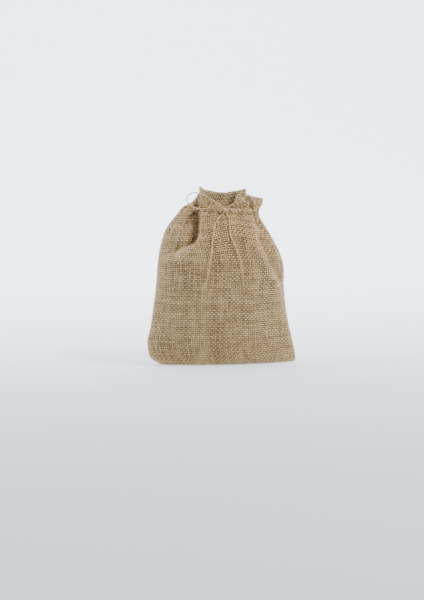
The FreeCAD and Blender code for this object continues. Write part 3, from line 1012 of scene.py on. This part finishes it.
def backdrop_material():
    """Pale paper with a painted glow, emitted light that grows stronger towards the back."""
    material, tree, shader = new_material("backdrop")
    shader.inputs["Base Color"].default_value = PAPER
    shader.inputs["Roughness"].default_value = 0.9
    place = tree.nodes.new("ShaderNodeTexCoord")
    split = tree.nodes.new("ShaderNodeSeparateXYZ")
    glow = tree.nodes.new("ShaderNodeMapRange")
    glow.interpolation_type = "SMOOTHSTEP"
    glow.inputs["From Min"].default_value, glow.inputs["From Max"].default_value = GLOW_SPAN
    glow.inputs["To Min"].default_value, glow.inputs["To Max"].default_value = GLOW
    tree.links.new(place.outputs["Object"], split.inputs["Vector"])
    tree.links.new(split.outputs["Y"], glow.inputs["Value"])
    tree.links.new(glow.outputs["Result"], shader.inputs["Emission Strength"])
    shader.inputs["Emission Color"].default_value = GLOW_COLOUR
    return material


def rising(flat):
    """Line from the floor's flat end that bends up into a wall."""
    line = [(flat, 0.0)]
    for step in range(1, BEND_STEPS + 1):
        angle = math.pi / 2 * step / BEND_STEPS
        line.append((flat + WALL_BEND * math.sin(angle), WALL_BEND * (1 - math.cos(angle))))
    return line + [(flat + WALL_BEND, WALL_HEIGHT)]


def add_stage():
    """Pale floor that curves up into a wall behind the object and on both sides."""
    depth_line = [(-FLOOR_FRONT, 0.0)] + rising(FLOOR_BEHIND)
    half = rising(FLOOR_BESIDE)
    width_line = [(-x, z) for x, z in reversed(half)] + half
    vertices = [
        (x / MM, y / MM, max(x_rise, y_rise) / MM)
        for y, y_rise in depth_line for x, x_rise in width_line
    ]
    wide = len(width_line)
    faces = [
        [j * wide + i, j * wide + i + 1, (j + 1) * wide + i + 1, (j + 1) * wide + i]
        for j in range(len(depth_line) - 1) for i in range(wide - 1)
    ]
    stage = mesh_object("backdrop", vertices, faces)
    stage.data.materials.append(backdrop_material())
    world = bpy.data.worlds.new("studio")
    world.use_nodes = True
    around = world.node_tree.nodes["Background"]
    around.inputs["Color"].default_value = AROUND_COLOUR
    around.inputs["Strength"].default_value = AROUND_STRENGTH
    bpy.context.scene.world = world
    for light in LIGHTS:
        add_light(*light)


# Making of the pieces

TWINE_FIBRE = jute("twine", (0.28, 0.165, 0.06), (0.88, 0.65, 0.335))
HESSIAN = jute("hessian", (0.155, 0.08, 0.025), (0.80, 0.555, 0.258))
THREAD_FIBRE = jute("thread", (0.20, 0.12, 0.05), (0.56, 0.39, 0.19))
SEAM_FIBRE = jute("seam_thread", (0.20, 0.12, 0.05), (0.56, 0.39, 0.19), wound=False)
GAP_SHADE = gap_shade_material()


def finish_piece(piece, material, body):
    """Gives a piece its material and the body it rides on."""
    piece.data.materials.append(material)
    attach(piece, body)


def add_twine(name, route, body, seed):
    """One run of the twine, from the knot to its far end, in place of its plain tube."""
    points = spline_points(route)
    tail = name.endswith("tail")
    line = into_knot(points, both_ends=not tail)
    piece = twisted_twine(name + "_twine", line / MM, seed, fray=tail)
    finish_piece(piece, TWINE_FIBRE, body)
    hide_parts(name)


def add_knot():
    """The knot's turns, in place of its plain ball."""
    knot = tied_knot("bow_knot_twine")
    finish_piece(knot, TWINE_FIBRE, "pouch")
    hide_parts("bow_knot")


def add_panel(side, name):
    """One woven panel and its casing stitching, in place of the plain ones."""
    panel = Panel(side)
    warp, weft = weave(panel, name)
    # A dark sheet inside the weave paints the shade seen through its gaps
    shade_sheet = painted_gap_shade_sheet(panel, name)
    strays = stray_fibres(panel, name, STRAY_FIBRES)
    for piece in (warp, weft, strays):
        finish_piece(piece, HESSIAN, "pouch")
    finish_piece(shade_sheet, GAP_SHADE, "pouch")
    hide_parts(name + "_panel")
    stitching = casing_stitching(panel, name)
    finish_piece(stitching, THREAD_FIBRE, "pouch")
    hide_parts(name + "_casing_thread")


def dress_seams():
    """The seams' stitches inside the pouch stay as they are and get their material."""
    for name in ("left_seam_thread", "right_seam_thread", "bottom_seam_thread"):
        bpy.data.objects[name].material_slots[0].material = SEAM_FIBRE


add_camera()

add_twine("left_loop", LEFT_LOOP, "left_loop", 1)
add_twine("right_loop", RIGHT_LOOP, "right_loop", 2)
add_twine("left_tail", LEFT_TAIL, "left_tail", 3)
add_twine("right_tail", RIGHT_TAIL, "right_tail", 4)
add_twine("neck_cord", NECK_CORD, "pouch", 5)
add_knot()

add_stage()
add_panel(-1, "front")
add_panel(1, "back")
dress_seams()
